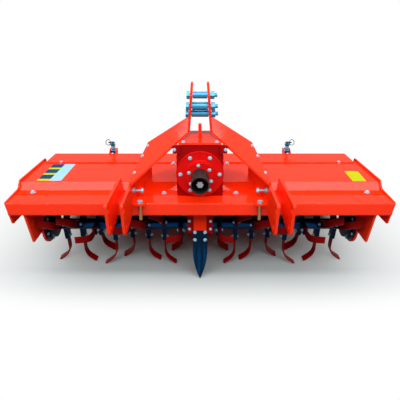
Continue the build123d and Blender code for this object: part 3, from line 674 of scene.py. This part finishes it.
class ROTAVATOR_OT_paint(bpy.types.Operator):
    """Make the finishes and paint every CAD piece with its own"""

    bl_idname = "rotavator.paint"
    bl_label = "Paint"

    def execute(self, context):
        paint = context.scene.rotavator_paint
        hood = gloss_paint(paint.hood_red)
        # Casting paint, darker as painted shade; it also goes on the share bracket's side flanges
        casting = cast_paint(paint.casting_red)
        bolts = plated(paint.bolt_zinc, 0.36, 0.4)
        surfaces = {
            "hood_red": hood,
            "casting_red": casting,
            "cover_red": cast_paint(paint.cover_red),
            "rotor_black": rotor_paint(paint.rotor_black, paint.blade_red),
            # Painted shade: the bracket's side flanges get the darker casting paint, its middle post the
            # hood's paint
            "bracket_red": two_finish(hood, casting, beside_post),
            "clamp_red": two_finish(
                hood, two_finish(plated(paint.clamp_bolt), bolts, above_beam), on_clamp_bolt
            ),
            "share_navy": share_paint(paint.share_navy),
            "guard_black": moulded(paint.guard_black),
            "bright_steel": plated(paint.bright_steel, 0.2),
            "zinc": plated(paint.zinc),
            "bolt_zinc": bolts,
            "pin_dark": gloss_paint(paint.pin_dark, 300.0, 0.36),
        }
        for finish, nodes in FINISHES.items():
            made = material(finish, surfaces[finish])
            for node in nodes:
                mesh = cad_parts[node].data
                mesh.materials.clear()
                mesh.materials.append(made)
        return {"FINISHED"}


class ROTAVATOR_OT_cover_bolts(bpy.types.Operator):
    """Ring of bolts on the gearbox's round cover and a smaller ring on the bearing cap"""

    bl_idname = "rotavator.cover_bolts"
    bl_label = "Cover bolts"

    def execute(self, context):
        sizes = context.scene.rotavator_hardware
        shape = bolt_shape(sizes.bolt_sides)
        middle = (COVER[0].z + COVER[1].z) / 2
        # Box of the round piece, share of its radius, count, first angle, head radius
        rings = (
            (COVER, 0.82, 6, 0.0, sizes.cover_bolt),
            (CAP, 0.8, 6, radians(38), sizes.cap_bolt),
        )
        parts = []
        for box, share, count, first, size in rings:
            angle = first + 2 * pi * np.arange(count) / count
            radius = share * (box[1].x - box[0].x) / 2
            places = np.stack(
                [radius * np.cos(angle), np.full(count, box[0].y), middle + radius * np.sin(angle)], axis=1
            )
            parts.append(stood(shape, places, (0, -1, 0), size))
        piece("cover_bolts", joined(parts), "bolt_zinc")
        return {"FINISHED"}


class ROTAVATOR_OT_cover_rims(bpy.types.Operator):
    """Rounded cast rims of the gearbox cover and its bearing cap, and the mould seam above the cap"""

    bl_idname = "rotavator.cover_rims"
    bl_label = "Cover rims"

    def execute(self, context):
        wire = context.scene.rotavator_hardware.rim
        middle = (COVER[0].z + COVER[1].z) / 2
        cover, cap = ((box[1].x - box[0].x) / 2 for box in (COVER, CAP))
        face = COVER[0].y
        facing = (0.0, -1.0, 0.0)
        parts = [
            ring((0, face + wire / 2, middle), cover - wire, wire, facing, RIM_STEPS),
            ring((0, face, middle), cap, wire, facing, RIM_STEPS),
            ring((0, CAP[0].y + wire / 2, middle), cap - wire, wire, facing, RIM_STEPS),
            bead((0, face, middle + cap), (0, face, middle + cover - 2 * wire), wire / 2),
        ]
        piece("cover_rims", joined(parts), "cover_red")
        return {"FINISHED"}


class ROTAVATOR_OT_hood_bolts(bpy.types.Operator):
    """Bolts that hold the covers, the deck, the bridge plate and the gearbox's ears"""

    bl_idname = "rotavator.hood_bolts"
    bl_label = "Hood bolts"

    def execute(self, context):
        sizes = context.scene.rotavator_hardware
        shape = bolt_shape(sizes.bolt_sides)
        upward = both_sides([
            at(934, 146, LIP_TOP), at(902, 556, COVER_TOP), at(172, 535, COVER_TOP), at(200, 135, LIP_TOP),
        ])
        bridge = both_sides([at(88, 112, 838)])
        ears = both_sides([at(133, 88, 804)])
        parts = [
            stood(shape, upward, (0, 0, 1), sizes.hood_bolt),
            stood(shape, bridge, (0, 0, 1), sizes.bridge_bolt),
            stood(shape, ears, (0, -1, 0), sizes.ear_bolt),
        ]
        piece("hood_bolts", joined(parts), "bolt_zinc")
        return {"FINISHED"}


class ROTAVATOR_OT_leg_bolts(bpy.types.Operator):
    """Bolts on the A-frame's legs: on the struts' faces and studs through their webs"""

    bl_idname = "rotavator.leg_bolts"
    bl_label = "Leg bolts"

    def execute(self, context):
        sizes = context.scene.rotavator_hardware
        faces = both_sides([on_strut(345, 74), on_strut(316, 190), on_strut(294, 262)])
        slope = both_sides([(STRUT_SLOPE, -STRUT_TILT, 1.0)] * 3)
        shape = bolt_shape(sizes.bolt_sides)
        studs = both_sides([at(355.9, 60, 588)])
        inward = both_sides([(-1.0, 0.0, 0.0)])
        stud = joined([nut_shape(sizes.bolt_sides), turned([0.56, 0.56], [0.9, 3.6], sizes.bolt_sides)])
        ends = both_sides([at(312, 60, 588)])
        parts = [
            stood(shape, faces, slope, sizes.strut_bolt),
            stood(stud, studs, inward, sizes.stud_nut),
            stood(shape, ends, inward, sizes.stud_nut),
        ]
        piece("leg_bolts", joined(parts), "bolt_zinc")
        return {"FINISHED"}


class ROTAVATOR_OT_share_bolts(bpy.types.Operator):
    """Four bolts through the share and the bolts of its bracket"""

    bl_idname = "rotavator.share_bolts"
    bl_label = "Share bolts"

    def execute(self, context):
        sizes = context.scene.rotavator_hardware
        shape = bolt_shape(sizes.bolt_sides)
        share = both_sides([at(29, 98.2, 313), at(29, 98.2, 264)])
        tilt = both_sides([(0.21, -0.98, 0.0)] * 2)
        flanges = both_sides([at(60, 106, 430), at(60, 106, 380), at(60, 106, 330)])
        parts = [
            stood(shape, share, tilt, sizes.share_bolt),
            stood(shape, flanges, (0, -1, 0), sizes.flange_bolt),
        ]
        piece("share_bolts", joined(parts), "bolt_zinc")
        return {"FINISHED"}


class ROTAVATOR_OT_holder_bolts(bpy.types.Operator):
    """A bolt and its nut across every blade holder of the rotor"""

    bl_idname = "rotavator.holder_bolts"
    bl_label = "Holder bolts"

    def execute(self, context):
        sizes = context.scene.rotavator_hardware
        stations = np.arange(len(STATION_PHASES))
        station, turn = np.meshgrid(stations, np.arange(BLADES_PER_STATION), indexing="ij")
        phase = STATION_PHASES[station] + turn * 2 * pi / BLADES_PER_STATION
        x = FIRST_STATION - station * STATION_PITCH
        y = AXIS_Y - HOLDER_BOLT_RADIUS * np.sin(phase)
        z = AXIS_Z - HOLDER_BOLT_RADIUS * np.cos(phase)
        middle = np.stack([x, y, z], axis=2).reshape(-1, 3)
        face = np.array([HOLDER_HALF_WIDTH, 0.0, 0.0])
        outward = np.tile((1.0, 0.0, 0.0), (len(middle), 1))
        head, nut = bolt_shape(SMALL_SIDES), nut_shape(SMALL_SIDES)
        parts = [
            stood(head, both_sides(middle + face), both_sides(outward), sizes.holder_bolt),
            stood(nut, both_sides(middle - face), both_sides(-outward), sizes.holder_bolt),
        ]
        piece("holder_bolts", joined(parts), "bolt_zinc", "rotor")
        return {"FINISHED"}


class ROTAVATOR_OT_bearing_bolts(bpy.types.Operator):
    """Ring of bolts on the inner face of each rotor bearing's flange"""

    bl_idname = "rotavator.bearing_bolts"
    bl_label = "Bearing bolts"

    def execute(self, context):
        sizes = context.scene.rotavator_hardware
        angle = BEARING_FIRST_BOLT + 2 * pi * np.arange(BEARING_BOLTS) / BEARING_BOLTS
        face = np.full(BEARING_BOLTS, BEARING_FACE_X)
        y = AXIS_Y + BEARING_BOLT_CIRCLE * np.cos(angle)
        z = AXIS_Z + BEARING_BOLT_CIRCLE * np.sin(angle)
        right = np.stack([face, y, z], axis=1)
        inward = np.tile((-1.0, 0.0, 0.0), (BEARING_BOLTS, 1))
        shape = stood(bolt_shape(SMALL_SIDES), both_sides(right), both_sides(inward), sizes.bearing_bolt)
        piece("bearing_bolts", shape, "bolt_zinc")
        return {"FINISHED"}


class ROTAVATOR_OT_stickers(bpy.types.Operator):
    """Blank stickers on the covers: stripes and a white panel on the left, a yellow one on the right"""

    bl_idname = "rotavator.stickers"
    bl_label = "Stickers"

    def execute(self, context):
        paint = context.scene.rotavator_paint
        thick = context.scene.rotavator_hardware.sticker
        material("stripe_sticker", stripes(paint.sticker_yellow, paint.sticker_blue, paint.sticker_white))
        material("yellow_sticker", plain_film(paint.sticker_yellow))
        left = [at(x, y, COVER_TOP) for x, y in ((-940, 230), (-799, 230), (-801, 524), (-943, 524))]
        right = [at(x, y, COVER_TOP) for x, y in ((876, 222), (953, 221), (964, 387), (884, 391))]
        piece("stripe_sticker", slab(left, thick), "stripe_sticker")
        piece("yellow_sticker", slab(right, thick), "yellow_sticker")
        return {"FINISHED"}


class ROTAVATOR_OT_welds(bpy.types.Operator):
    """Weld beads where the linkage plates meet the front beam"""

    bl_idname = "rotavator.welds"
    bl_label = "Welds"

    def execute(self, context):
        radius = context.scene.rotavator_hardware.weld
        front, foot, back, top = BEAM[0].y, BEAM[0].z, BEAM[1].y, BEAM[1].z
        parts = []
        for node in ("hitch_inner_right", "hitch_outer_right", "hitch_inner_left", "hitch_outer_left"):
            low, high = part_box(node)
            for x in (low.x, high.x):
                parts.append(bead((x, front, foot + WELD_FOOT), (x, front, top - WELD_CORNER), radius))
                parts.append(bead((x, front + WELD_CORNER, top), (x, back - WELD_END, top), radius))
        piece("weld_beads", joined(parts), "hood_red")
        return {"FINISHED"}


class ROTAVATOR_OT_linch_pins(bpy.types.Operator):
    """Linch pin with its ring through the top of each spring rod"""

    bl_idname = "rotavator.linch_pins"
    bl_label = "Linch pins"

    def execute(self, context):
        sides = context.scene.rotavator_hardware.bolt_sides
        for side, way in (("left", -1.0), ("right", 1.0)):
            low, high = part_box(f"board_rod_{side}")
            x = (low.x + high.x) / 2
            y, z = low.y + PIN_SETBACK, high.z - PIN_DROP
            pin = stood(turned(PIN_RADII, PIN_HEIGHTS, sides), [(x, y, z)], (way, 0, 0), 0.001)
            centre = (x + way * LOOP_OUT, y - LOOP_AHEAD, z + LOOP_RAISE)
            loop = ring(centre, LOOP_RADIUS, LOOP_WIRE, (way * 0.35, -0.9, 0.25))
            piece(f"linch_pin_{side}", joined([pin, loop]), "pin_dark", f"rod_{side}")
        return {"FINISHED"}


class ROTAVATOR_OT_stage(bpy.types.Operator):
    """Pale floor, soft light and the camera at the photograph's viewing angle"""

    bl_idname = "rotavator.stage"
    bl_label = "Studio"

    def execute(self, context):
        studio = context.scene.rotavator_studio
        square = np.array([(-1, -1, 0), (1, -1, 0), (1, 1, 0), (-1, 1, 0)])
        corners = square * FLOOR_HALF + (0, 0, FLOOR_DROP)
        mesh = bpy.data.meshes.new("floor")
        mesh.from_pydata(corners.tolist(), [], [(0, 1, 2, 3)])
        floor = bpy.data.objects.new("floor", mesh)
        context.scene.collection.objects.link(floor)
        mesh.materials.append(material("floor", floor_surface(studio.floor, studio.floor_bounce)))
        # Name, place, turn, size and power of each soft light
        lights = (
            ("key_light", (0.0, -1.3, 3.4), (radians(20), 0, 0), (5.4, 0.45), studio.key_power),
            ("front_light", (0.0, -2.9, 3.4), (radians(46), 0, 0), (7.0, 1.8), studio.front_power),
            ("back_light", (0.0, 2.6, 3.6), (radians(-40), 0, 0), (5.0, 2.0), studio.back_power),
        )
        for name, place, turn, size, power in lights:
            lamp = bpy.data.lights.new(name, "AREA")
            lamp.shape = "RECTANGLE"
            lamp.size, lamp.size_y = size
            lamp.energy = power
            made = bpy.data.objects.new(name, lamp)
            made.location = place
            made.rotation_euler = turn
            context.scene.collection.objects.link(made)
        self.sky(context, studio.sky)
        camera = bpy.data.objects.new("camera", bpy.data.cameras.new("camera"))
        camera.data.lens = studio.lens
        camera.location = studio.camera_place
        camera.rotation_euler = (pi / 2 - studio.camera_dip, 0, 0)
        context.scene.collection.objects.link(camera)
        context.scene.camera = camera
        context.scene.view_settings.view_transform = "Standard"
        return {"FINISHED"}

    def sky(self, context, strength):
        """Even white light all round, and plain white where the camera or a reflection looks past the
        floor."""
        world = bpy.data.worlds.new("studio")
        context.scene.world = world
        world.use_nodes = True
        world.node_tree.nodes.clear()
        start = Signal(world.node_tree)
        seen = start.seen()
        level = strength + (1 - strength) * seen
        light = start.node("ShaderNodeBackground", sockets={"Color": (1, 1, 1, 1), "Strength": level})
        start.node("ShaderNodeOutputWorld", sockets={"Surface": light})


def floor_surface(shade, bounce):
    """A matt pale floor that takes the machine's shadow and fades to white with distance from the ground
    that the machine covers. It has a painted shade, darker colour, along the trailing board's lower edge
    and just beyond its ends, and the light that it throws back under the hood is dimmer than what the
    camera sees."""

    def surface(start):
        x, y, _ = start.axes()
        seen = start.seen()
        aside = start.maths("ABSOLUTE", x, 0.0)
        beside = start.maths("MAXIMUM", aside - SHADE_HALF_WIDTH, 0.0) * SHADE_BESIDE
        ahead = start.maths("MAXIMUM", start.maths("ABSOLUTE", y - SHADE_Y, 0.0) - SHADE_HALF_DEPTH, 0.0)
        distance = (beside * beside + ahead * ahead) ** 0.5
        across = start.between(aside, *PAINTED_SHADE_BESIDE)
        # Painted shade: the floor's colour is darkened along the trailing board's lower edge and just
        # beyond its ends
        painted_shade = across * start.between(y, *PAINTED_SHADE_FRONT) * start.between(y, *PAINTED_SHADE_BACK)
        fade = start.between(distance, 0.0, FADE_REACH) * (1 - painted_shade) * (1 - painted_shade) * seen
        lit = start.mix(painted_shade, opaque(shade), opaque(shade, PAINTED_SHADE_TONE))
        tone = start.mix(seen, opaque(bounce), lit)
        return {
            "Base Color": start.mix(fade, tone, (0, 0, 0, 1)),
            "Emission Color": start.mix(fade, (0, 0, 0, 1), (1, 1, 1, 1)),
            "Emission Strength": 1.0,
            "Roughness": 0.9,
            "Specular IOR Level": 0.0,
        }

    return surface


OPERATORS = (
    ROTAVATOR_OT_paint,
    ROTAVATOR_OT_cover_bolts,
    ROTAVATOR_OT_cover_rims,
    ROTAVATOR_OT_hood_bolts,
    ROTAVATOR_OT_leg_bolts,
    ROTAVATOR_OT_share_bolts,
    ROTAVATOR_OT_holder_bolts,
    ROTAVATOR_OT_bearing_bolts,
    ROTAVATOR_OT_stickers,
    ROTAVATOR_OT_welds,
    ROTAVATOR_OT_linch_pins,
    ROTAVATOR_OT_stage,
)


class ROTAVATOR_PT_looks(bpy.types.Panel):
    """Lists the steps that dress the rotavator"""

    bl_label = "Rotavator"
    bl_space_type = "VIEW_3D"
    bl_region_type = "UI"
    bl_category = "Rotavator"

    def draw(self, context):
        for operator in OPERATORS:
            self.layout.operator(operator.bl_idname)


GROUPS = {
    "rotavator_paint": RotavatorPaint,
    "rotavator_hardware": RotavatorHardware,
    "rotavator_studio": RotavatorStudio,
}


def register():
    for name, group in GROUPS.items():
        bpy.utils.register_class(group)
        setattr(bpy.types.Scene, name, PointerProperty(type=group))
    for operator in OPERATORS:
        bpy.utils.register_class(operator)
    bpy.utils.register_class(ROTAVATOR_PT_looks)


def unregister():
    bpy.utils.unregister_class(ROTAVATOR_PT_looks)
    for operator in reversed(OPERATORS):
        bpy.utils.unregister_class(operator)
    for name, group in GROUPS.items():
        delattr(bpy.types.Scene, name)
        bpy.utils.unregister_class(group)


def main():
    register()
    for operator in OPERATORS:
        group, name = operator.bl_idname.split(".")
        getattr(getattr(bpy.ops, group), name)()


if __name__ == "__main__":
    main()
